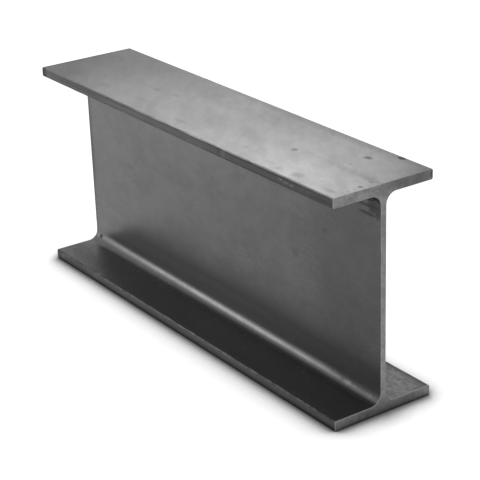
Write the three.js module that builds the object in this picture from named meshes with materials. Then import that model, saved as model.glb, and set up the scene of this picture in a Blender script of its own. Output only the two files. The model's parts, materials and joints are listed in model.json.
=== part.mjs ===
// A short length of hot-rolled steel beam with parallel flanges.
//
// The beam lies along X with its web upright and +Z up. The origin is the middle of the
// underside of the bottom flange, so the beam stands on the plane z = 0. Sizes are millimetres.

import * as THREE from 'three';

// Rolled section, as a mill lists it.
const sectionDepth = 203.2; // outer face of one flange to outer face of the other
const flangeWidth = 101.8; // tip to tip
const flangeThickness = 9.3;
const webThickness = 5.4;
const rootRadius = 10; // fillet where the web runs into each flange
const toeRadius = 1.2; // rounding that the rolls leave along the flange tips

// Cut piece.
const beamLength = 457.2;
const sawnEdgeBreak = 0.5; // burr filed off around both sawn ends, as a small bevel

// ExtrudeGeometry divides each rounded corner into twice this number of chords.
const arcDivisions = 6;

const millScale = new THREE.MeshStandardMaterial({
  name: 'mill_scale_steel',
  color: 0x5a5b5c,
  metalness: 0.95,
  roughness: 0.36,
});

// Largest share of a wall that one rounding may take, so that the roundings at its ends never meet.
const roundingShare = 0.49;

/** A radius no larger than the wall that it rounds leaves room for. */
function limitedRadius(radius, room) {
  return Math.min(radius, roundingShare * room);
}

/**
 * The twelve sharp corners of the I, counter-clockwise from the bottom flange's underside.
 * Each has the radius that rounds it: the toe radius at a flange tip, the root radius at the web.
 */
function sectionCorners() {
  const tip = flangeWidth / 2;
  const webFace = webThickness / 2;
  const topFlangeUnderside = sectionDepth - flangeThickness;
  const clearDepth = topFlangeUnderside - flangeThickness;
  const toe = limitedRadius(toeRadius, flangeThickness);
  const overhang = tip - webFace - toe;
  const root = limitedRadius(rootRadius, Math.min(clearDepth, 2 * overhang));
  const rightHalf = [
    { across: tip, up: 0, radius: toe },
    { across: tip, up: flangeThickness, radius: toe },
    { across: webFace, up: flangeThickness, radius: root },
    { across: webFace, up: topFlangeUnderside, radius: root },
    { across: tip, up: topFlangeUnderside, radius: toe },
    { across: tip, up: sectionDepth, radius: toe },
  ];
  const leftHalf = rightHalf.map((corner) => ({ ...corner, across: -corner.across })).reverse();
  return [...rightHalf, ...leftHalf];
}

/** Joins square corners into one closed outline, with an arc of its own radius at each corner. */
function roundedOutline(corners) {
  const points = corners.map(({ across, up }) => new THREE.Vector2(across, up));
  const outline = new THREE.Shape();
  corners.forEach(({ radius }, i) => {
    const corner = points[i];
    const before = points.at(i - 1);
    const after = points[(i + 1) % points.length];
    const arriving = corner.clone().sub(before).setLength(radius);
    const leaving = after.clone().sub(corner).setLength(radius);
    const centre = corner.clone().sub(arriving).add(leaving);
    const turnsRight = arriving.cross(leaving) < 0;
    const startAngle = leaving.clone().negate().angle();
    const endAngle = arriving.angle();
    outline.absarc(centre.x, centre.y, radius, startAngle, endAngle, turnsRight);
  });
  outline.closePath();
  return outline;
}

/** The rolled section drawn out to the cut length, with the bevel inside that length. */
function rolledBeamGeometry() {
  return new THREE.ExtrudeGeometry(roundedOutline(sectionCorners()), {
    depth: beamLength - 2 * sawnEdgeBreak,
    curveSegments: arcDivisions,
    bevelEnabled: true,
    bevelThickness: sawnEdgeBreak,
    bevelSize: sawnEdgeBreak,
    bevelOffset: -sawnEdgeBreak,
    bevelSegments: 1,
  });
}

const rolledBeam = new THREE.Mesh(rolledBeamGeometry(), millScale);
rolledBeam.name = 'rolled_beam';

// The section is drawn across (x) and up (y) and extruded along z. Here across becomes Y, up
// becomes Z and the extrusion becomes X, centred on the origin.
const across = new THREE.Vector3(0, 1, 0);
const up = new THREE.Vector3(0, 0, 1);
const along = new THREE.Vector3(1, 0, 0);
rolledBeam.setRotationFromMatrix(new THREE.Matrix4().makeBasis(across, up, along));
rolledBeam.position.x = sawnEdgeBreak - beamLength / 2;

const steelBeam = new THREE.Group();
steelBeam.name = 'steel_i_beam';
steelBeam.add(rolledBeam);

export default steelBeam;
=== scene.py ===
"""A short length of hot-rolled steel beam, standing on a pale studio floor.

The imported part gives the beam's place and its outer sizes. This script draws the same section
again with a finer skin, adds the small faults that rolling, sawing and handling leave, and
dresses it in mill scale. Lengths are metres, +X runs along the beam and +Z is up.
"""

from __future__ import annotations

import json
import logging
import math
from dataclasses import dataclass, field
from enum import Enum
from functools import cached_property, partial, reduce
from typing import Sequence

import bpy
from mathutils import Matrix, Vector, noise

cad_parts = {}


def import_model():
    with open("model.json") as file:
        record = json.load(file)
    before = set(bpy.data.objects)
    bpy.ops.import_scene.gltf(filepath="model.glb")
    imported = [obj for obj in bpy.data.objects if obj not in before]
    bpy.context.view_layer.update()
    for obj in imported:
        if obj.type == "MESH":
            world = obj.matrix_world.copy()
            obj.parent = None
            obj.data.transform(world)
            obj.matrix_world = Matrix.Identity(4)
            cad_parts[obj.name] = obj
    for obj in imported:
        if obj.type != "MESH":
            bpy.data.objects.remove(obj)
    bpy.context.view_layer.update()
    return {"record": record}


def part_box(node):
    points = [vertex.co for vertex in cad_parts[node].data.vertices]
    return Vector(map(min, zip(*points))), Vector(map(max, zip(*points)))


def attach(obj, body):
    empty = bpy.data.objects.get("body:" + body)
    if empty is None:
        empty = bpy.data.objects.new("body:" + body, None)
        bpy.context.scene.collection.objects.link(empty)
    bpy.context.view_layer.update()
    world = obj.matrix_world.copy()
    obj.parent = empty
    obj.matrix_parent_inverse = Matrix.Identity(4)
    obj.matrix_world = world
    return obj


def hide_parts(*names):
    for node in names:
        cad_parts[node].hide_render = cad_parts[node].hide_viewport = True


LOG = logging.getLogger("steel_beam")

MM = 0.001
BODY = "root"
BEAM_NODE = "rolled_beam"
FINISH_ATTRIBUTES = ("arris", "flange_tip", "over_lap", "toe_grime")
RIM_WANDER = 0.8  # how far the rims of marks wander, as a share of their reach

Socket = bpy.types.NodeSocket
Sockets = bpy.types.NodeOutputs
Inputs = dict[str | int, object]
Colour = tuple[float, float, float]


def grey(level: float) -> Colour:
    """A neutral linear colour of that level."""
    return (level, level, level)


def waver(place: Vector, cell: Sequence[float]) -> float:
    """Smooth noise from 0 to 1, with blobs of that size along each axis."""
    cells = Vector([distance / size for distance, size in zip(place, cell)])
    return 0.5 + 0.5 * noise.noise(cells)


def linked(name: str, data: bpy.types.ID) -> bpy.types.Object:
    """Makes an object and puts it in the scene.

    Args:
        name: The object's name.
        data: Its mesh, camera or lamp.

    Returns:
        The object.
    """
    made = bpy.data.objects.new(name, data)
    bpy.context.scene.collection.objects.link(made)
    return made


# --- Section and skin ---


@dataclass(frozen=True)
class OutlinePoint:
    """One point of the rolled outline, in the plane across the beam."""

    across: float
    up: float
    facing: tuple[float, float]  # outward direction, across and up
    to_toe: float  # distance round the outline to the nearest rounded toe
    in_toe: float  # 1 in the middle of a rounded toe, 0 outside it
    on_tip: float  # 1 on the narrow face at a flange's tip, 0 away from it


@dataclass(frozen=True)
class Corner:
    """A sharp corner of the section, and the radius that rounds it."""

    place: Vector
    radius: float


@dataclass(frozen=True)
class RolledSection:
    """The rolled section's sizes and the cut length, in metres."""

    length: float
    depth: float
    flange_width: float
    flange_thickness: float
    web_thickness: float
    root_radius: float = 10.0 * MM
    toe_radius: float = 1.2 * MM
    root_chords: int = 14
    toe_chords: int = 5
    beside_toe: tuple[float, ...] = (0.6 * MM, 1.6 * MM)  # extra points on the flats, from a toe

    @classmethod
    def from_frame(cls, record: dict, low: Vector, high: Vector) -> RolledSection:
        """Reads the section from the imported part.

        Args:
            record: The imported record, whose mounts lie on the web's and the flanges' faces.
            low: Lowest corner of the beam's box.
            high: Highest corner of the beam's box.

        Returns:
            The section, with its thicknesses taken from the mounts.
        """
        places = {mount["name"]: mount["pos_m"] for mount in record["mounts"]}
        return cls(
            length=high.x - low.x,
            depth=high.z - low.z,
            flange_width=high.y - low.y,
            flange_thickness=places["clamp_seat_bottom_right"][2],
            web_thickness=places["web_face_left"][1] - places["web_face_right"][1],
        )

    def corners(self) -> list[Corner]:
        """The sharp corners of the section.

        Returns:
            The twelve corners, counter-clockwise from the underside.
        """
        tip, web_face = self.flange_width / 2, self.web_thickness / 2
        underside = self.depth - self.flange_thickness
        right = [
            (tip, 0.0, self.toe_radius),
            (tip, self.flange_thickness, self.toe_radius),
            (web_face, self.flange_thickness, self.root_radius),
            (web_face, underside, self.root_radius),
            (tip, underside, self.toe_radius),
            (tip, self.depth, self.toe_radius),
        ]
        left = [(-across, up, radius) for across, up, radius in reversed(right)]
        return [Corner(Vector(place), radius) for *place, radius in right + left]

    def outline(self, spacing: float) -> list[OutlinePoint]:
        """Samples the outline finely round its corners and evenly along its flats.

        Args:
            spacing: Distance between points on a flat.

        Returns:
            The closed outline, counter-clockwise, without a repeated last point.
        """
        corners = self.corners()
        points: list[OutlinePoint] = []
        for i, corner in enumerate(corners):
            after = corners[(i + 1) % len(corners)]
            points += self._arc(corners[i - 1], corner, after)
            points += self._flat(corner, after, spacing)
        return points

    def _arc(self, before: Corner, corner: Corner, after: Corner) -> list[OutlinePoint]:
        """Rounds one corner.

        Args:
            before: The corner before it.
            corner: The corner.
            after: The corner after it.

        Returns:
            The points of its arc, with both ends.
        """
        radius = corner.radius
        is_toe = radius == self.toe_radius
        chords = self.toe_chords if is_toe else self.root_chords
        arriving = (corner.place - before.place).normalized()
        leaving = (after.place - corner.place).normalized()
        outward_turn = 1.0 if arriving.cross(leaving) > 0 else -1.0
        centre = corner.place - arriving * radius + leaving * radius
        points = []
        for step in range(chords + 1):
            angle = math.radians(90) * step / chords
            spoke = arriving * math.sin(angle) - leaving * math.cos(angle)
            place = centre + spoke * radius
            facing = tuple(spoke * outward_turn)
            away = 0.0 if is_toe else math.inf
            bulge = math.sin(2 * angle) if is_toe else 0.0
            on_tip = abs(facing[0]) if is_toe else 0.0
            points.append(OutlinePoint(*place, facing, away, bulge, on_tip))
        return points

    def _flat(self, corner: Corner, after: Corner, spacing: float) -> list[OutlinePoint]:
        """Divides the flat between two corners, more closely beside a toe.

        Args:
            corner: The corner that it starts from.
            after: The corner that it runs to.
            spacing: Distance between points.

        Returns:
            The points strictly inside the flat.
        """
        leaving = (after.place - corner.place).normalized()
        start = corner.place + leaving * corner.radius
        flat = after.place - leaving * after.radius - start
        run, direction = flat.length, flat.normalized()
        facing = (direction.y, -direction.x)
        toe_at_start = corner.radius == self.toe_radius
        toe_at_end = after.radius == self.toe_radius
        is_tip = toe_at_start and toe_at_end and abs(facing[0]) > abs(facing[1])
        count = max(1, round(run / spacing))
        distances = {run * step / count for step in range(1, count)}
        distances.update(close for close in self.beside_toe if toe_at_start)
        distances.update(run - close for close in self.beside_toe if toe_at_end)
        points = []
        for distance in sorted(distances):
            place = start + direction * distance
            to_start = distance if toe_at_start else math.inf
            to_end = run - distance if toe_at_end else math.inf
            away = min(to_start, to_end)
            points.append(OutlinePoint(*place, facing, away, 0.0, float(is_tip)))
        return points


@dataclass(frozen=True)
class Nick:
    """A small dent knocked into a flange tip."""

    along: float
    side: float  # -1 for the -Y tips, 1 for the +Y tips
    up: float
    depth: float
    reach: float


@dataclass(frozen=True)
class HandlingFaults:
    """How far the real surface strays inward from the perfect section."""

    web_wave: float = 0.16 * MM
    web_wave_cell: tuple[float, ...] = (95 * MM, 95 * MM, 95 * MM)
    tip_lap: float = 0.22 * MM
    tip_lap_cell: tuple[float, ...] = (21 * MM, 25 * MM, 2.4 * MM)
    toe_wander: float = 0.42 * MM
    toe_wander_cell: tuple[float, ...] = (17 * MM, 29 * MM, 14 * MM)
    nicks: tuple[Nick, ...] = (
        Nick(78 * MM, -1, 200 * MM, 0.9 * MM, 3.2 * MM),
        Nick(121 * MM, -1, 203 * MM, 0.7 * MM, 2.4 * MM),
        Nick(-151 * MM, -1, 9 * MM, 0.8 * MM, 4.0 * MM),
        Nick(-96 * MM, -1, 8 * MM, 0.6 * MM, 5.0 * MM),
        Nick(-44 * MM, 1, 198 * MM, 0.4 * MM, 3.0 * MM),
        Nick(150 * MM, 1, 9 * MM, 0.9 * MM, 3.6 * MM),
        Nick(-190 * MM, 1, 4 * MM, 0.7 * MM, 3.0 * MM),
    )

    def depth_at(self, along: float, point: OutlinePoint, tip: float) -> float:
        """How deep the surface lies under the perfect section.

        Args:
            along: Place along the beam.
            point: Place round the section.
            tip: Half the flange width.

        Returns:
            The depth, never negative, so that the skin stays inside the beam's box.
        """
        place = Vector((along, point.across, point.up))
        depth = self.web_wave * waver(place, self.web_wave_cell)
        depth += self.tip_lap * point.on_tip * waver(place, self.tip_lap_cell)
        depth += self.toe_wander * point.in_toe * waver(place, self.toe_wander_cell)
        for nick in self.nicks:
            if nick.side * point.across > 0:
                centre = Vector((nick.along, nick.side * tip, nick.up))
                near = (place - centre).length / nick.reach
                depth += nick.depth * math.exp(-(near**2))
        return depth


@dataclass
class BeamSkin:
    """The beam's visible mesh: a fine skin swept along the section, closed by two sawn faces."""

    section: RolledSection
    start: float
    end: float
    faults: HandlingFaults = field(default_factory=HandlingFaults)
    station_spacing: float = 2.6 * MM
    outline_spacing: float = 3.4 * MM
    edge_break: float = 0.5 * MM
    filed_round: float = 0.42  # inset halfway round the filed edge; 0.5 would be a flat bevel
    sawn_rim: float = 0.6 * MM  # strip of the sawn face beside its edge
    end_rings: tuple[float, ...] = (1.4 * MM, 2.8 * MM)  # closer rings beside the sawn edge
    sharp_angle: float = math.radians(28)
    arris_reach: float = 0.9 * MM  # how far the rubbing reaches in from a sawn edge
    toe_reach: float = 2.0 * MM  # and from the top flange's toes
    # This also sets how strong the painted highlight on the +Y top toe is beside the -Y one.
    back_wear_and_glint: float = 0.3  # how rubbed the +Y arris is beside the -Y one
    grime_reach: float = 0.8 * MM
    top_lap: float = 0.08  # where the tips' lap lines run, as a share of the flange's thickness
    bottom_lap: float = 1.4

    def stations(self) -> list[tuple[float, float, bool]]:
        """The rings that the skin is swept through, from the -X end to the +X end.

        Returns:
            Place along the beam, inset of the outline, and whether the ring is on a sawn face.
        """
        close = [
            (0.0, self.edge_break + self.sawn_rim, True),
            (0.0, self.edge_break, True),
            (0.5 * self.edge_break, self.filed_round * self.edge_break, True),
            (self.edge_break, 0.0, False),
            *((offset, 0.0, False) for offset in self.end_rings),
        ]
        first = self.start + close[-1][0]
        last = self.end - close[-1][0]
        count = round((last - first) / self.station_spacing)
        middle = [(first + (last - first) * step / count, 0.0, False) for step in range(1, count)]
        near_start = [(self.start + offset, inset, sawn) for offset, inset, sawn in close]
        near_end = [(self.end - offset, inset, sawn) for offset, inset, sawn in close[::-1]]
        return near_start + middle + near_end

    def arris_wear_and_glint(self, from_end: float, point: OutlinePoint, on_sawn_rim: bool) -> float:
        """How exposed a place is to rubbing, and where the painted highlight along the top flange's
        toes lies.

        Args:
            from_end: Distance along the beam from the nearer sawn end.
            point: Place round the section.
            on_sawn_rim: Whether the place is on a sawn face, inside its broken edge.

        Returns:
            1 on an arris, 0 away from it.
        """
        if on_sawn_rim:
            return 0.0
        outer = point.up > self.section.depth - self.section.toe_radius
        side = 1.0 if point.across < 0 else self.back_wear_and_glint
        toe = side * math.exp(-point.to_toe / self.toe_reach) if outer else 0.0
        sawn_edge = math.exp(-max(0.0, from_end - self.edge_break) / self.arris_reach)
        return max(toe, sawn_edge)

    def over_lap(self, point: OutlinePoint) -> float:
        """Where a place is beside the lap line of its flange tip.

        Args:
            point: Place round the section.

        Returns:
            The height over that line, as a share of the flange's thickness.
        """
        thickness = self.section.flange_thickness
        if point.up > self.section.depth / 2:
            return (point.up - self.section.depth + thickness) / thickness - self.top_lap
        return point.up / thickness - self.bottom_lap

    def toe_grime(self, point: OutlinePoint) -> float:
        """How much dirt a place holds: 1 on a sheltered toe, 0 on the open faces."""
        sheltered = point.up < self.section.depth - self.section.toe_radius
        return math.exp(-point.to_toe / self.grime_reach) if sheltered else 0.0

    def build(self, name: str) -> bpy.types.Object:
        """Makes the closed skin.

        Args:
            name: The object's name.

        Returns:
            The linked object, with material slot 0 for the rolled skin and 1 for the sawn faces,
            and the point attributes that the finishes read.
        """
        outline = self.section.outline(self.outline_spacing)
        stations = self.stations()
        tip = self.section.flange_width / 2
        vertices: list[tuple[float, float, float]] = []
        finish_values: list[tuple[float, ...]] = []
        for along, inset, _ in stations:
            from_end = min(along - self.start, self.end - along)
            on_sawn_rim = inset > self.edge_break
            for point in outline:
                depth = inset + self.faults.depth_at(along, point, tip)
                across = point.across - point.facing[0] * depth
                up = point.up - point.facing[1] * depth
                vertices.append((along, across, up))
                arris = self.arris_wear_and_glint(from_end, point, on_sawn_rim)
                values = (arris, point.on_tip, self.over_lap(point), self.toe_grime(point))
                finish_values.append(values)
        faces, slots = self._faces(len(outline), [sawn for _, _, sawn in stations])
        mesh = bpy.data.meshes.new(name)
        mesh.from_pydata(vertices, [], faces)
        mesh.polygons.foreach_set("material_index", slots)
        mesh.polygons.foreach_set("use_smooth", [True] * len(faces))
        for attribute, values in zip(FINISH_ATTRIBUTES, zip(*finish_values)):
            mesh.attributes.new(attribute, "FLOAT", "POINT").data.foreach_set("value", values)
        mesh.set_sharp_from_angle(angle=self.sharp_angle)
        mesh.validate()
        return linked(name, mesh)

    @staticmethod
    def _faces(around: int, sawn: list[bool]) -> tuple[list[tuple[int, ...]], list[int]]:
        """Joins neighbouring rings with quads and closes the first and last ring.

        Args:
            around: How many points each ring has.
            sawn: For each ring, whether it is on a sawn face.

        Returns:
            The faces, and the material slot of each.
        """
        faces: list[tuple[int, ...]] = []
        slots: list[int] = []
        for ring in range(len(sawn) - 1):
            low, high = ring * around, (ring + 1) * around
            for i in range(around):
                j = (i + 1) % around
                faces.append((low + i, low + j, high + j, high + i))
                slots.append(int(sawn[ring] or sawn[ring + 1]))
        faces.append(tuple(reversed(range(around))))
        faces.append(tuple(range(high, high + around)))
        return faces, slots + [1, 1]


# --- Node tools ---


class NodeSheet:
    """Adds nodes to one tree and wires them, so that a finish reads as a list of steps."""

    def __init__(self, tree: bpy.types.NodeTree) -> None:
        """Starts on a tree, and empties it."""
        tree.nodes.clear()
        self.tree = tree

    def node(self, kind: str, inputs: Inputs | None = None, **settings: object) -> bpy.types.Node:
        """Adds a node.

        Args:
            kind: Blender's node type.
            inputs: Values or sockets by input name or number.
            settings: The node's own properties.

        Returns:
            The new node.
        """
        added = self.tree.nodes.new(kind)
        for name, value in settings.items():
            setattr(added, name, value)
        for name, value in (inputs or {}).items():
            self.feed(added.inputs[name], value)
        return added

    def feed(self, target: Socket, value: object) -> None:
        """Links a socket to an input, or sets a plain value on it.

        Args:
            target: The input.
            value: A socket, a number, or the three numbers of a vector or colour.
        """
        if isinstance(value, bpy.types.NodeSocket):
            self.tree.links.new(value, target)
        elif target.type == "RGBA" and len(value) == 3:
            target.default_value = (*value, 1.0)
        else:
            target.default_value = value

    def result(self, kind: str, inputs: Inputs, **settings: object) -> Socket:
        """Adds a node of the ShaderNode family, and gives its first output."""
        return self.node(f"ShaderNode{kind}", inputs, **settings).outputs[0]

    def math(self, operation: str, first: object, second: object) -> Socket:
        """One arithmetic step on two values."""
        return self.result("Math", {0: first, 1: second}, operation=operation)

    def times(self, *values: object) -> Socket:
        """The product of several values."""
        return reduce(partial(self.math, "MULTIPLY"), values)

    def plus(self, *values: object) -> Socket:
        """The sum of several values."""
        return reduce(partial(self.math, "ADD"), values)

    def minus(self, first: object, second: object) -> Socket:
        """The first value less the second."""
        return self.math("SUBTRACT", first, second)

    def strongest(self, *masks: object) -> Socket:
        """The highest of several masks at each place."""
        return reduce(partial(self.math, "MAXIMUM"), masks)

    def remap(
        self, value: object, low: object, high: object, to_low: object = 0.0, to_high: object = 1.0
    ) -> Socket:
        """Carries low..high over to to_low..to_high with soft ends."""
        inputs = {0: value, 1: low, 2: high, 3: to_low, 4: to_high}
        return self.result("MapRange", inputs, interpolation_type="SMOOTHSTEP")

    def vector(self, operation: str, first: object, second: object) -> Socket:
        """One arithmetic step on two vectors, axis by axis."""
        return self.result("VectorMath", {0: first, 1: second}, operation=operation)

    def combine(self, *axes: object) -> Socket:
        """A vector of two or three values."""
        return self.result("CombineXYZ", dict(enumerate(axes)))

    @cached_property
    def position(self) -> Socket:
        """The place on the surface, in the object's own frame."""
        return self.node("ShaderNodeTexCoord").outputs["Object"]

    def axis(self, name: str) -> Socket:
        """The place along X, Y or Z."""
        return self.node("ShaderNodeSeparateXYZ", {0: self.position}).outputs[name]

    def attribute(self, name: str) -> Socket:
        """A point attribute of the mesh."""
        return self.node("ShaderNodeAttribute", attribute_name=name).outputs["Fac"]

    def noise(
        self, position: object, size: object, detail: float, rough: float = 0.5, twist: float = 0.0
    ) -> Socket:
        """Smooth noise from 0 to 1.

        Args:
            position: The place on the surface.
            size: The rough size of its blobs.
            detail: How many finer layers it has.
            rough: How strongly they show.
            twist: How far it is warped.

        Returns:
            The noise at each place.
        """
        inputs = {
            "Vector": position,
            "Scale": self.math("DIVIDE", 1.0, size),
            "Detail": detail,
            "Roughness": rough,
            "Distortion": twist,
        }
        return self.result("TexNoise", inputs)

    def blend(self, amount: object, first: object, second: object) -> Socket:
        """A colour between two colours."""
        inputs = {0: amount, 6: first, 7: second}
        return self.node("ShaderNodeMix", data_type="RGBA", inputs=inputs).outputs[2]

    def between(self, amount: object, first: object, second: object) -> Socket:
        """A value between two values."""
        inputs = {0: amount, 2: first, 3: second}
        return self.result("Mix", data_type="FLOAT", inputs=inputs)

    def bump(self, height: object, reach: float, strength: float) -> Socket:
        """The normal of a surface that is raised by that height."""
        inputs = {"Height": height, "Distance": reach, "Strength": strength}
        return self.result("Bump", inputs)

    def use(self, effect: SharedEffect, inputs: Inputs | None = None) -> Socket:
        """Places a shared effect, with the inputs that differ from its own, and gives its value."""
        given = {"Position": self.position, **(inputs or {})}
        return self.result("Group", given, node_tree=effect.tree())


class SocketKind(Enum):
    """What a socket of a shared effect carries."""

    VALUE = "NodeSocketFloat"
    VECTOR = "NodeSocketVector"


class SharedEffect:
    """A shader node group, built once and used by several finishes.

    It takes a Position and the inputs that it names, and gives one value.
    """

    name: str = ""
    inputs: dict[str, float | tuple[float, float, float]] = {}
    output: str = "Mask"

    def tree(self) -> bpy.types.NodeTree:
        """The group, which is built the first time that it is asked for.

        Returns:
            The group's tree, the same one each time.
        """
        found = bpy.data.node_groups.get(self.name)
        if found is not None:
            return found
        made = bpy.data.node_groups.new(self.name, "ShaderNodeTree")
        for name, default in {"Position": (0.0, 0.0, 0.0), **self.inputs}.items():
            kind = SocketKind.VECTOR if isinstance(default, tuple) else SocketKind.VALUE
            socket = made.interface.new_socket(name, in_out="INPUT", socket_type=kind.value)
            socket.default_value = default
        kind = SocketKind.VALUE
        made.interface.new_socket(self.output, in_out="OUTPUT", socket_type=kind.value)
        sheet = NodeSheet(made)
        given = sheet.node("NodeGroupInput").outputs
        sheet.node("NodeGroupOutput", {self.output: self.draw(sheet, given)})
        return made

    def draw(self, sheet: NodeSheet, given: Sockets) -> Socket:
        """Draws the effect from the group's inputs, by name, and gives its value."""
        raise NotImplementedError


class ScaleCloud(SharedEffect):
    """Cloudy patches where the mill scale is thicker or thinner."""

    name = "scale_cloud"
    inputs = {"Patch Size": 0.04, "Stretch": 1.0, "Turn": 0.0, "Seed": 0.0}
    fade = (0.3, 0.7)  # noise at a patch's rim and at its middle

    def draw(self, sheet: NodeSheet, given: Sockets) -> Socket:
        """Twisted noise, drawn out by Stretch along a level line that Turn swings from the beam.

        Args:
            sheet: The group's tree.
            given: The group's inputs by name.

        Returns:
            1 in the middle of a patch, 0 between patches.
        """
        inputs = {"Vector": given["Position"], "Angle": given["Turn"]}
        turned = sheet.result("VectorRotate", inputs, rotation_type="Z_AXIS")
        squeeze = sheet.combine(sheet.math("DIVIDE", 1.0, given["Stretch"]), 1.0, 1.0)
        offset = sheet.combine(given["Seed"], given["Seed"])
        place = sheet.vector("ADD", sheet.vector("MULTIPLY", turned, squeeze), offset)
        cloud = sheet.noise(place, given["Patch Size"], detail=4, rough=0.56, twist=0.4)
        return sheet.remap(cloud, *self.fade)


class RollingStreaks(SharedEffect):
    """Fine lines that the rolls draw along the beam."""

    name = "rolling_streaks"
    inputs = {"Pitch": 1.2 * MM, "Stretch": 40.0}

    def draw(self, sheet: NodeSheet, given: Sockets) -> Socket:
        """Noise squeezed into lines along X.

        Args:
            sheet: The group's tree.
            given: The group's inputs by name.

        Returns:
            The noise, 0 to 1.
        """
        squeeze = sheet.combine(sheet.math("DIVIDE", 1.0, given["Stretch"]), 1.0, 1.0)
        place = sheet.vector("MULTIPLY", given["Position"], squeeze)
        return sheet.noise(place, given["Pitch"], detail=3, rough=0.6)


class ScalePits(SharedEffect):
    """Scattered pits and specks where scale has flaked off or been rolled in."""

    name = "scale_pits"
    inputs = {"Spacing": 8 * MM, "Share": 0.3, "Pit Size": 0.25}
    wobble = 0.4  # size of the wobble of the rims, as a share of the spacing
    floor = 0.3  # size of a pit's floor, as a share of the pit

    def draw(self, sheet: NodeSheet, given: Sockets) -> Socket:
        """One ragged pit in a share of the cells.

        Args:
            sheet: The group's tree.
            given: The group's inputs by name.

        Returns:
            1 in a pit, 0 outside it.
        """
        cell = sheet.times(given["Spacing"], self.wobble)
        wobble = sheet.noise(given["Position"], cell, detail=2)
        drift = sheet.times(sheet.minus(wobble, 0.5), given["Spacing"])
        place = sheet.vector("ADD", given["Position"], sheet.combine(drift, drift, drift))
        inputs = {"Vector": place, "Scale": sheet.math("DIVIDE", 1.0, given["Spacing"])}
        cells = sheet.node("ShaderNodeTexVoronoi", inputs).outputs
        lot = sheet.result("SeparateColor", {0: cells["Color"]})
        chosen = sheet.math("LESS_THAN", lot, given["Share"])
        floor = sheet.times(given["Pit Size"], self.floor)
        return sheet.times(sheet.remap(cells["Distance"], given["Pit Size"], floor), chosen)


class Scuffs(SharedEffect):
    """Thin bright scratches, mostly along the beam, where it was dragged or strapped."""

    name = "scuffs"
    inputs = {"Width": 0.6 * MM, "Rarity": 0.68, "Turn": 0.1}
    squeeze = (0.05, 1.0, 1.0)
    fade = 0.08  # noise from a scratch's rim to its middle
    patch_size = 30 * MM
    patch_fade = (0.5, 0.62)

    def draw(self, sheet: NodeSheet, given: Sockets) -> Socket:
        """Turned, drawn-out noise of which only the peaks are kept, in patches.

        Args:
            sheet: The group's tree.
            given: The group's inputs by name.

        Returns:
            1 on a scratch, 0 beside it.
        """
        turn = sheet.combine(0.0, given["Turn"], given["Turn"])
        inputs = {"Vector": given["Position"], "Rotation": turn}
        turned = sheet.result("VectorRotate", inputs, rotation_type="EULER_XYZ")
        place = sheet.vector("MULTIPLY", turned, self.squeeze)
        lines = sheet.noise(place, given["Width"], detail=1)
        full = sheet.plus(given["Rarity"], self.fade)
        kept = sheet.remap(lines, given["Rarity"], full)
        patches = sheet.noise(given["Position"], self.patch_size, detail=2)
        return sheet.times(kept, sheet.remap(patches, *self.patch_fade))


class RaggedRim(SharedEffect):
    """Unevenness that breaks up the rims of marks, from about -0.5 to 0.5."""

    name = "ragged_rim"
    inputs = {"Size": 2.8 * MM}
    output = "Offset"

    def draw(self, sheet: NodeSheet, given: Sockets) -> Socket:
        """Noise about zero."""
        ragged = sheet.noise(given["Position"], given["Size"], detail=3, rough=0.6)
        return sheet.minus(ragged, 0.5)


class Spot(SharedEffect):
    """One soft mark at a chosen place, with a rim broken up by an offset that all marks share."""

    name = "spot"
    inputs = {
        "Centre": (0.0, 0.0, 0.0),
        "Reach": (3 * MM, 3 * MM, 3 * MM),
        "Rim Offset": 0.0,
        "Strength": 1.0,
    }
    full_inside = 0.35  # where the mark is full, as a share of its reach

    def draw(self, sheet: NodeSheet, given: Sockets) -> Socket:
        """A soft oval that is gone at its reach.

        Args:
            sheet: The group's tree.
            given: The group's inputs by name.

        Returns:
            The strength in its middle, 0 outside its reach.
        """
        away = sheet.vector("SUBTRACT", given["Position"], given["Centre"])
        shares = sheet.vector("DIVIDE", away, given["Reach"])
        length = sheet.node("ShaderNodeVectorMath", {0: shares}, operation="LENGTH")
        rim = sheet.plus(length.outputs["Value"], given["Rim Offset"])
        return sheet.remap(rim, 1.0, self.full_inside, 0.0, given["Strength"])


class ArrisRubAndGlint(SharedEffect):
    """Where handling has rubbed an arris down to bright steel, and a painted highlight along the
    top flange's toes.
    """

    name = "arris_rub"
    inputs = {"Break-up": 12 * MM, "Start": 0.5}
    unevenness = 0.9
    full = 1.05  # the level at which the steel is bare

    def draw(self, sheet: NodeSheet, given: Sockets) -> Socket:
        """The arris attribute, broken up so that the rubbing is uneven.

        Args:
            sheet: The group's tree.
            given: The group's inputs by name.

        Returns:
            1 where the steel is bare, 0 where it is not rubbed.
        """
        arris = sheet.attribute("arris")
        uneven = sheet.noise(given["Position"], given["Break-up"], detail=3)
        level = sheet.plus(arris, sheet.times(sheet.minus(uneven, 0.5), self.unevenness))
        return sheet.remap(level, given["Start"], self.full)


class TipLaps(SharedEffect):
    """The dark, wavy lap that the edging rolls fold over the upper part of a flange tip."""

    name = "tip_laps"
    inputs = {"Wave Length": 20 * MM, "Wave Height": 0.9}
    lap_edge = (-0.08, 0.1)  # either side of the lap line, as shares of the flange's thickness
    tip_edge = (0.7, 0.98)

    def draw(self, sheet: NodeSheet, given: Sockets) -> Socket:
        """The over_lap attribute with a wandering edge, kept to the tips by flange_tip.

        Args:
            sheet: The group's tree.
            given: The group's inputs by name.

        Returns:
            1 on the lap, 0 beside it.
        """
        wander = sheet.noise(given["Position"], given["Wave Length"], detail=4, rough=0.6)
        wander = sheet.times(sheet.minus(wander, 0.5), given["Wave Height"])
        lap = sheet.remap(sheet.plus(sheet.attribute("over_lap"), wander), *self.lap_edge)
        return sheet.times(lap, sheet.remap(sheet.attribute("flange_tip"), *self.tip_edge))


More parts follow.
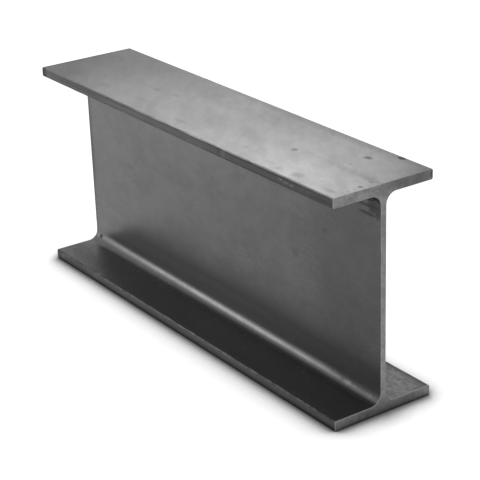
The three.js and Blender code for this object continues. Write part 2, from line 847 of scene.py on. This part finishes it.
class SawLines(SharedEffect):
    """The shallow lines that a band saw leaves on a cut face."""

    name = "saw_lines"
    inputs = {"Pitch": 0.9 * MM}
    squeeze = (1.0, 0.04, 1.0)

    def draw(self, sheet: NodeSheet, given: Sockets) -> Socket:
        """Noise drawn out across the flanges."""
        place = sheet.vector("MULTIPLY", given["Position"], self.squeeze)
        return sheet.noise(place, given["Pitch"], detail=2, twist=0.3)


# --- Marks ---


# Where a mark is in its face and how far it reaches there, in millimetres, and its strength.
MarkRow = tuple[float, float, float, float, float]


class Face(Enum):
    """A face that marks lie on.

    Its value holds the axis through it, the size that says where it is on that axis, the share
    of that size, and how far its marks reach through it.
    """

    TOP = (2, "depth", 1.0, 1.4 * MM)
    SEAT = (2, "flange_thickness", 1.0, 4 * MM)  # the upper face of the bottom flange
    WEB = (1, "web_thickness", -0.5, 8 * MM)
    TIP = (1, "flange_width", -0.5, 3 * MM)
    NEAR_END = (0, "length", 0.5, 6 * MM)
    FAR_END = (0, "length", -0.5, 6 * MM)

    def spot(self, section: RolledSection, row: MarkRow) -> Inputs:
        """Turns one mark's row into the inputs of Spot.

        Args:
            section: The section, which says where the face is.
            row: The mark, with its two places and two reaches in the order X, Y, Z.

        Returns:
            The inputs by name.
        """
        axis, size, share, through = self.value
        centre = [length * MM for length in row[:2]]
        reach = [length * MM for length in row[2:4]]
        centre.insert(axis, share * getattr(section, size))
        reach.insert(axis, through)
        return {"Centre": centre, "Reach": reach, "Strength": row[4]}


MarkMap = dict[Face, tuple[MarkRow, ...]]

# Dark marks on the rolled faces: real stains, and painted shade where noted.
ROLLED_STAINS_AND_SHADE: MarkMap = {
    Face.TOP: (
        (121.6, -6.1, 4, 4.6, 0.5),
        (176, 27.3, 5.4, 4, 0.65),
        (194.6, 47.2, 6.5, 3.8, 0.95),
        (178.3, 6.8, 3, 1.8, 0.3),
        (222.7, -19, 3, 2.4, 0.6),
        (220, -6.4, 4, 1.6, 0.35),
        (171, -40, 9, 6, 0.2),
        (148, -42, 6, 4, 0.16),
        (134, -40, 10, 5, 0.16),
        (214, -42, 9, 4, 0.18),
        (91, -33.5, 4, 2.6, 0.3),
        (-46, 29, 12, 7, 0.14),
        (-93, -4, 8, 4, 0.2),
        (-66, -0.5, 9, 4, 0.2),
        (-2, -37.5, 11, 4, 0.18),
        (-78, -31, 15, 5, 0.12),
        # Painted shade: these three rows darken the top face at its -X end and along its +Y half.
        (-222, -20, 60, 80, 0.22),
        (80, 50, 200, 15, 0.28),
        (20, 30, 160, 26, 0.12),
        (-136, -34, 13, 5, 0.14),
        (-228.6, 0, 4.5, 80, 0.9),
        (-84, 50, 14, 2.6, 0.6),
        (0, 51, 400, 2.2, 0.35),
    ),
    Face.SEAT: (
        (205.1, 35.8, 3.4, 2.6, 0.7),
        (186, 42.3, 5, 1.6, 0.6),
        (199, 48.5, 60, 4.5, 0.6),
        # Painted shade: darkens the -Y side of the bottom flange's upper face, under the top
        # flange, along the whole beam.
        (20, -33, 420, 34, 0.55),
    ),
    Face.WEB: (
        # Painted shade under the top flange at the +X end, with dark streaks running down the web
        # from it.
        (214, 189, 28, 8, 0.95),
        (219, 181, 13, 10, 0.75),
        (224, 179, 7, 12, 0.7),
        (212, 173.5, 18, 2.6, 0.75),
        (201, 180, 22, 2.8, 0.6),
        # Painted shade: the web darker towards the +X end, and in a band under the top flange's
        # tip.
        (195, 125, 95, 120, 0.3),
        (125, 177, 140, 22, 0.3),
        (228.6, 98, 2.8, 110, 0.6),
        (156, 141, 6, 4, 0.45),
        (115, 107, 9, 7, 0.2),
        (-153, 110, 8, 5, 0.12),
        (-166, 84, 14, 8, 0.1),
        (107, 25, 6, 3, 0.3),
        # Painted shade: dims the root fillet's bright band towards the +X end.
        (215, 16, 75, 5, 0.6),
        (-218, 14.5, 4, 3, 0.9),
        # Painted shadow: a dark strip down the web at its -X edge.
        (-228.6, 110, 8, 115, 0.45),
    ),
    Face.TIP: (
        (150, 199, 130, 8, 0.25),
        (135, 201.4, 130, 2, 0.65),
        (135, 195, 130, 2, 0.65),
        (216, 196, 30, 5, 0.55),
        (-120, 201.3, 130, 1.8, 0.55),
        (-130, 195.2, 130, 1.6, 0.4),
        (-160, 198.6, 75, 1.6, 0.6),
        (-228.6, 198.5, 12, 14, 1),
        (-226, 5, 11, 9, 0.8),
    ),
}
# Painted shade under the top flange's root at the +X end, drawn as near-black soot.
ROLLED_SOOT_AND_SHADE: MarkMap = {
    Face.WEB: (
        (213, 191, 24, 5.5, 0.75),
        (214, 180.5, 14, 2, 0.3),
    ),
}
ROLLED_CHIPS_AND_SHEEN: MarkMap = {
    Face.TOP: (
        (191, -32, 4, 3, 0.18),
        (198, -37, 4, 3, 0.18),
        (-26, 27, 10, 7, 0.1),
        (-99, -7, 4, 3, 0.2),
        # Painted highlight: a pale patch over the -Y half of the top face, around its middle and
        # towards +X.
        (75, -48, 105, 34, 0.28),
    ),
    Face.TIP: (
        (0, 4, 300, 9, 0.2),
        (161.3, 199.3, 3, 1.3, 0.35),
        (169, 198.4, 4, 1, 0.3),
        (176.2, 198.2, 3, 1.3, 0.35),
    ),
    Face.SEAT: (
        (200, 28, 45, 26, 0.55),
        (219, 12.5, 4.5, 2, 0.45),
        (224, 20, 8, 1.4, 0.35),
        (189, 38, 3, 1.4, 0.4),
    ),
    Face.WEB: (
        (206, 43, 6, 5, 0.12),
        (20, 27, 300, 11, 0.33),
        (215, 24, 80, 8, 0.25),
        (222, 186.5, 2.2, 1, 0.3),
        (217, 187.5, 2, 1, 0.28),
        (212, 188.5, 2, 0.9, 0.22),
        (188, 13, 7, 3, 0.25),
        (217, 12.5, 4, 2.5, 0.2),
    ),
}
SAWN_MARKS: MarkMap = {
    Face.NEAR_END: (
        (52, 200, 7, 8, 0.9),
        (30, 200, 42, 12, 0.5),
        (-4, 4, 70, 14, 0.22),
        (0, 0.4, 90, 1.8, 0.6),
    ),
    Face.FAR_END: (
        (-44, 198, 9, 8, 0.7),
        (6, 4, 60, 14, 0.25),
    ),
}


def marks_mask(sheet: NodeSheet, section: RolledSection, marks: MarkMap) -> Socket:
    """The strongest of several marks at each place.

    Args:
        sheet: The material's nodes.
        section: The section that the marks lie on.
        marks: The marks, by face.

    Returns:
        The mask, 0 away from every mark.
    """
    ragged = sheet.times(sheet.use(RaggedRim()), RIM_WANDER)
    total: object = 0.0
    for face, rows in marks.items():
        for row in rows:
            inputs = {"Rim Offset": ragged, **face.spot(section, row)}
            total = sheet.strongest(total, sheet.use(Spot(), inputs))
    return total


# --- Finishes ---


@dataclass(frozen=True)
class RolledScale:
    """Hot-rolled mill scale: dark satin grey, faintly cloudy, pitted, with dirt on its toes, and
    with painted shade and painted highlights among its marks.
    """

    name: str = "rolled_scale"
    thin_scale: Colour = grey(0.121)
    thick_scale: Colour = grey(0.078)
    # Bare steel on rubbed arrises and scuffs, and the painted highlight along the top toes.
    bare_steel_and_glint: Colour = grey(0.42)
    lap: Colour = grey(0.045)
    # Dark colour of grime, mottling and stains, and of the painted shade among the marks.
    dark_mark: Colour = grey(0.03)
    # Near black, for soot and the painted shade under the top flange.
    soot_and_shade: Colour = grey(0.008)
    # Pale colour of dust and chips, and of the painted highlight on the top face.
    dust_and_sheen: Colour = grey(0.2)
    metallic: float = 1.0
    roughness: float = 0.33
    roughness_swing: float = 0.05
    dirty_roughness: float = 0.6
    top_clouds: float = 0.78  # how strongly the clouds show on the top face, and away from it
    side_clouds: float = 0.6
    top_edge: tuple[float, float] = (1.25, 0.67)  # where that changes, in toe radii under the top
    even_scale: float = 0.5  # how thin the scale is where no cloud shows
    smear_turn: float = math.radians(35)  # the clouds are smeared askew to the beam
    # Patch size, stretch, seed and share of each layer of clouds.
    cloud_layers: tuple[tuple[float, float, float, float], ...] = (
        (50 * MM, 1.8, 3.1, 0.35),
        (17 * MM, 2.3, 7.7, 0.35),
        (7.5 * MM, 2.3, 1.9, 0.3),
    )
    lap_cover: float = 0.85  # how far the laps hide the scale
    pit_cover: float = 0.14
    speck_spacing: float = 3 * MM
    speck_share: float = 0.12
    speck_cover: float = 0.1
    grime_patch: float = 6 * MM
    grime_fade: tuple[float, float] = (0.2, 0.7)
    grime_cover: tuple[float, float] = (0.45, 0.9)  # where the grime is thin, and thick
    mottle_patch: float = 5 * MM
    mottle_seed: float = 5.3
    mottle_cover: float = 0.55
    mottle_side: tuple[float, float] = (6 * MM, 14 * MM)  # where it sets in, along Y
    mottle_height: tuple[float, float] = (6 * MM, 1 * MM)  # and down to the seat
    mottle_onset: tuple[float, float] = (60 * MM, 180 * MM)  # and along X
    # The rubbing and its painted highlight on the top toes set in along X here.
    rub_and_glint_onset: tuple[float, float] = (-80 * MM, 60 * MM)  # where the rubbing sets in, along X
    far_share: float = 0.3  # what is left of both towards -X
    rub_shine: float = 0.3
    scuff_shine: float = 0.2
    relief: float = 0.12 * MM
    relief_strength: float = 0.5
    cloud_relief: float = 0.3  # how high each stands, as a share of the relief
    streak_relief: float = 0.25
    dirt_relief: float = 0.6

    def dress(self, section: RolledSection) -> bpy.types.Material:
        """Builds the material.

        Args:
            section: The section, which says where the faces are.

        Returns:
            The finish for every surface that the rolls made.
        """
        material, sheet = new_material(self.name)
        clouds = self._clouds(sheet, section)
        laps = sheet.use(TipLaps())
        mottle = self._mottle(sheet, section)
        # The soot and stain tables hold real marks and painted shade.
        soot_and_shade = marks_mask(sheet, section, ROLLED_SOOT_AND_SHADE)
        dark_marks = marks_mask(sheet, section, ROLLED_STAINS_AND_SHADE)
        dark = sheet.strongest(self._grime(sheet), mottle, dark_marks, soot_and_shade)
        # Pale marks: dust and chips, and the painted highlight on the top face.
        chips_and_sheen = marks_mask(sheet, section, ROLLED_CHIPS_AND_SHEEN)
        pale = sheet.times(chips_and_sheen, sheet.minus(1.0, mottle))

        colour = sheet.blend(clouds, self.thick_scale, self.thin_scale)
        colour = sheet.blend(sheet.times(laps, self.lap_cover), colour, self.lap)
        colour = sheet.blend(dark, colour, self.dark_mark)
        colour = sheet.blend(soot_and_shade, colour, self.soot_and_shade)
        colour = sheet.blend(pale, colour, self.dust_and_sheen)
        colour = sheet.blend(self._bright(sheet), colour, self.bare_steel_and_glint)

        low, high = self.roughness - self.roughness_swing, self.roughness + self.roughness_swing
        rough = sheet.between(dark, sheet.between(clouds, high, low), self.dirty_roughness)
        streaks = sheet.use(RollingStreaks())
        height = sheet.times(clouds, self.cloud_relief)
        height = sheet.plus(height, sheet.times(streaks, self.streak_relief))
        height = sheet.minus(height, sheet.times(dark, self.dirt_relief))
        height = sheet.minus(height, laps)
        normal = sheet.bump(height, self.relief, self.relief_strength)
        steel = {"Base Color": colour, "Metallic": self.metallic, "Roughness": rough}
        shader = sheet.result("BsdfPrincipled", {**steel, "Normal": normal})
        sheet.node("ShaderNodeOutputMaterial", {"Surface": shader})
        return material

    def _clouds(self, sheet: NodeSheet, section: RolledSection) -> Socket:
        """Broad and small clouds together, fainter away from the top face.

        Args:
            sheet: The material's nodes.
            section: The section, which says where the top face is.

        Returns:
            How thin the scale is, 0 to 1.
        """
        layers: object = 0.0
        for size, stretch, seed, share in self.cloud_layers:
            inputs = {"Patch Size": size, "Stretch": stretch, "Turn": self.smear_turn, "Seed": seed}
            layer = sheet.use(ScaleCloud(), inputs)
            layers = sheet.plus(layers, sheet.times(layer, share))
        low, high = (section.depth - down * section.toe_radius for down in self.top_edge)
        on_top = sheet.remap(sheet.axis("Z"), low, high)
        strength = sheet.between(on_top, self.side_clouds, self.top_clouds)
        return sheet.between(strength, self.even_scale, layers)

    def _mottle(self, sheet: NodeSheet, section: RolledSection) -> Socket:
        """Dark mottling of the bottom flange's +Y seat, mostly near the +X end.

        Args:
            sheet: The material's nodes.
            section: The section, which says where the seat is.

        Returns:
            The mask, 0 away from the seat.
        """
        high, low = (section.flange_thickness + height for height in self.mottle_height)
        behind = sheet.remap(sheet.axis("Y"), *self.mottle_side)
        close = sheet.remap(sheet.axis("Z"), high, low)
        near = sheet.remap(sheet.axis("X"), *self.mottle_onset, self.far_share, 1.0)
        inputs = {"Patch Size": self.mottle_patch, "Seed": self.mottle_seed}
        cloud = sheet.use(ScaleCloud(), inputs)
        return sheet.times(cloud, behind, close, near, self.mottle_cover)

    def _grime(self, sheet: NodeSheet) -> Socket:
        """Pits, specks and the grime on the sheltered toes.

        Args:
            sheet: The material's nodes.

        Returns:
            The mask, 0 on clean scale.
        """
        pits = sheet.use(ScalePits())
        inputs = {"Spacing": self.speck_spacing, "Share": self.speck_share}
        specks = sheet.use(ScalePits(), inputs)
        uneven = sheet.noise(sheet.position, self.grime_patch, detail=3)
        cover = sheet.remap(uneven, *self.grime_fade, *self.grime_cover)
        return sheet.strongest(
            sheet.times(pits, self.pit_cover),
            sheet.times(specks, self.speck_cover),
            sheet.times(sheet.attribute("toe_grime"), cover),
        )

    def _bright(self, sheet: NodeSheet) -> Socket:
        """Rubbed arrises with a painted highlight on the top toes, fainter towards -X, and scuffs.

        Args:
            sheet: The material's nodes.

        Returns:
            The mask, 0 on whole scale.
        """
        rub = sheet.use(ArrisRubAndGlint())
        near = sheet.remap(sheet.axis("X"), *self.rub_and_glint_onset, self.far_share, 1.0)
        scuffs = sheet.times(sheet.use(Scuffs()), self.scuff_shine)
        return sheet.strongest(sheet.times(rub, near, self.rub_shine), scuffs)


@dataclass(frozen=True)
class SawnSteel:
    """A sawn end: cleaner metal with shallow saw lines, dulled and stained by handling."""

    name: str = "sawn_steel"
    clean: Colour = grey(0.265)
    dull: Colour = grey(0.13)
    dark_mark: Colour = grey(0.04)
    bare_steel_and_glint: Colour = grey(0.42)
    metallic: float = 1.0
    roughness: float = 0.42
    # Patch size, seed and share of each layer of clouds. The saw lines have the rest.
    cloud_layers: tuple[tuple[float, float, float], ...] = (
        (14 * MM, 1.3, 0.37),
        (4 * MM, 6.1, 0.37),
    )
    line_share: float = 0.26
    rub_shine: float = 0.15
    relief: float = 0.1 * MM
    relief_strength: float = 0.5

    def dress(self, section: RolledSection) -> bpy.types.Material:
        """Builds the material.

        Args:
            section: The section, which says where the sawn faces are.

        Returns:
            The finish for the two sawn faces and their broken edges.
        """
        material, sheet = new_material(self.name)
        lines = sheet.use(SawLines())
        cleanness = sheet.times(lines, self.line_share)
        for size, seed, share in self.cloud_layers:
            cloud = sheet.use(ScaleCloud(), {"Patch Size": size, "Seed": seed})
            cleanness = sheet.plus(cleanness, sheet.times(cloud, share))
        rub = sheet.times(sheet.use(ArrisRubAndGlint()), self.rub_shine)
        colour = sheet.blend(cleanness, self.dull, self.clean)
        dark_marks = marks_mask(sheet, section, SAWN_MARKS)
        colour = sheet.blend(dark_marks, colour, self.dark_mark)
        colour = sheet.blend(rub, colour, self.bare_steel_and_glint)
        normal = sheet.bump(lines, self.relief, self.relief_strength)
        steel = {"Base Color": colour, "Metallic": self.metallic, "Roughness": self.roughness}
        shader = sheet.result("BsdfPrincipled", {**steel, "Normal": normal})
        sheet.node("ShaderNodeOutputMaterial", {"Surface": shader})
        return material


def new_material(name: str) -> tuple[bpy.types.Material, NodeSheet]:
    """Starts a material on an empty sheet.

    Args:
        name: The material's name.

    Returns:
        The material and its sheet.
    """
    material = bpy.data.materials.new(name)
    material.use_nodes = True
    return material, NodeSheet(material.node_tree)


# --- Beam ---


@dataclass
class SteelBeam:
    """The rolled beam: one piece of steel with two finishes."""

    low: Vector
    high: Vector
    section: RolledSection
    rolled: RolledScale = field(default_factory=RolledScale)
    sawn: SawnSteel = field(default_factory=SawnSteel)

    def build(self) -> bpy.types.Object:
        """Makes the skin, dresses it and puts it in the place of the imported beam.

        Returns:
            The dressed beam.
        """
        skin = BeamSkin(self.section, self.low.x, self.high.x)
        beam = skin.build("beam_skin")
        beam.data.materials.append(self.rolled.dress(self.section))
        beam.data.materials.append(self.sawn.dress(self.section))
        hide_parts(BEAM_NODE)
        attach(beam, BODY)
        return beam


# --- Studio ---


@dataclass(frozen=True)
class StudioCamera:
    """A long lens held a little off level."""

    place: tuple[float, float, float] = (1.1069, -0.7444, 0.6448)
    azimuth: float = 55.376  # from -Y towards +X, in degrees
    elevation: float = 22.957
    roll: float = -1.961
    lens: float = 118.54
    sensor: float = 36.0
    clip: tuple[float, float] = (0.05, 50.0)

    def build(self) -> None:
        """Makes the camera and hands it to the scene."""
        data = bpy.data.cameras.new("studio_camera")
        data.lens = self.lens
        data.sensor_width = self.sensor
        data.clip_start, data.clip_end = self.clip
        camera = linked("studio_camera", data)
        placed = Matrix.Translation(self.place)
        for angle, axis in ((self.azimuth, "Z"), (90 - self.elevation, "X"), (self.roll, "Z")):
            placed = placed @ Matrix.Rotation(math.radians(angle), 4, axis)
        camera.matrix_world = placed
        bpy.context.scene.camera = camera


@dataclass(frozen=True)
class SoftLight:
    """A wide flat lamp aimed at the beam."""

    name: str
    place: tuple[float, float, float]
    width: float
    height: float
    power: float
    aim: tuple[float, float, float] = (0.0, 0.0, 0.1)

    def build(self) -> None:
        """Makes the lamp."""
        data = bpy.data.lights.new(self.name, "AREA")
        data.shape = "RECTANGLE"
        data.size = self.width
        data.size_y = self.height
        data.energy = self.power
        lamp = linked(self.name, data)
        lamp.visible_camera = False
        lamp.location = self.place
        direction = Vector(self.aim) - Vector(self.place)
        lamp.rotation_euler = direction.to_track_quat("-Z", "Y").to_euler()


@dataclass(frozen=True)
class Studio:
    """A white floor and surround that light the beam plainly, and soft lamps for its highlights."""

    floor_reach: float = 6.0
    floor_colour: Colour = grey(0.8)
    floor_glow: float = 0.85  # lifts the floor to white where it is seen or mirrored
    contact_reach: float = 30 * MM
    contact_depth: float = 4.0
    surround_light: float = 0.3
    lights: tuple[SoftLight, ...] = (
        SoftLight("front_strip", (-0.735, -0.595, 0.32), width=0.2, height=0.48, power=1.9),
        SoftLight("over_left", (-0.2, 0.1, 0.36), width=0.22, height=0.22, power=0.22),
        SoftLight("over_back", (-0.04, 0.15, 0.34), width=0.14, height=0.14, power=0.15),
    )

    def build(self) -> None:
        """Makes the floor, the surround and the lights."""
        self._floor()
        self._surround()
        for light in self.lights:
            light.build()

    def _floor(self) -> None:
        """A wide level plane, white where it is seen, with the beam's shadow kept close to it."""
        reach = self.floor_reach
        corners = ((-reach, -reach, 0), (reach, -reach, 0), (reach, reach, 0), (-reach, reach, 0))
        mesh = bpy.data.meshes.new("studio_floor")
        mesh.from_pydata(corners, [], [(0, 1, 2, 3)])
        material, sheet = new_material("studio_floor")
        inputs = {"Distance": self.contact_reach}
        openness = sheet.node("ShaderNodeAmbientOcclusion", inputs, samples=8).outputs["AO"]
        shade = sheet.math("POWER", openness, self.contact_depth)
        colour = sheet.blend(shade, grey(0.0), self.floor_colour)
        shown = sheet.result("BsdfDiffuse", {"Color": colour})
        glow = sheet.result("Emission", {"Strength": sheet.times(shade, self.floor_glow)})
        seen = sheet.result("AddShader", {0: shown, 1: glow})
        lit = sheet.result("BsdfDiffuse", {"Color": self.floor_colour})
        mixed = sheet.result("MixShader", {0: seen_rays(sheet), 1: lit, 2: seen})
        sheet.node("ShaderNodeOutputMaterial", {"Surface": mixed})
        mesh.materials.append(material)
        floor = linked("studio_floor", mesh)

    def _surround(self) -> None:
        """A world that is white where it is seen or mirrored, and dimmer where it lights."""
        world = bpy.data.worlds.new("studio_surround")
        world.use_nodes = True
        sheet = NodeSheet(world.node_tree)
        strength = sheet.between(seen_rays(sheet), self.surround_light, 1.0)
        background = sheet.result("Background", {"Color": grey(1.0), "Strength": strength})
        sheet.node("ShaderNodeOutputWorld", {"Surface": background})
        bpy.context.scene.world = world


def seen_rays(sheet: NodeSheet) -> Socket:
    """Tells the rays that show a backdrop from those that light the beam.

    Args:
        sheet: The nodes of the floor's material or of the world.

    Returns:
        1 for the camera's rays and those mirrored or let through, 0 for the rest.
    """
    rays = sheet.node("ShaderNodeLightPath").outputs
    names = ("Is Camera Ray", "Is Glossy Ray", "Is Transmission Ray")
    return sheet.strongest(*(rays[name] for name in names))


# --- Script ---


def main() -> None:
    """Builds the beam and its studio."""
    logging.basicConfig(level=logging.INFO, format="%(name)s: %(message)s")
    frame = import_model()
    bpy.context.scene.view_settings.view_transform = "Standard"

    low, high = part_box(BEAM_NODE)
    section = RolledSection.from_frame(frame["record"], low, high)
    beam = SteelBeam(low, high, section).build()
    LOG.info("%s: %d faces", beam.name, len(beam.data.polygons))

    Studio().build()
    StudioCamera().build()
    LOG.info("studio ready")


if __name__ == "__main__":
    main()
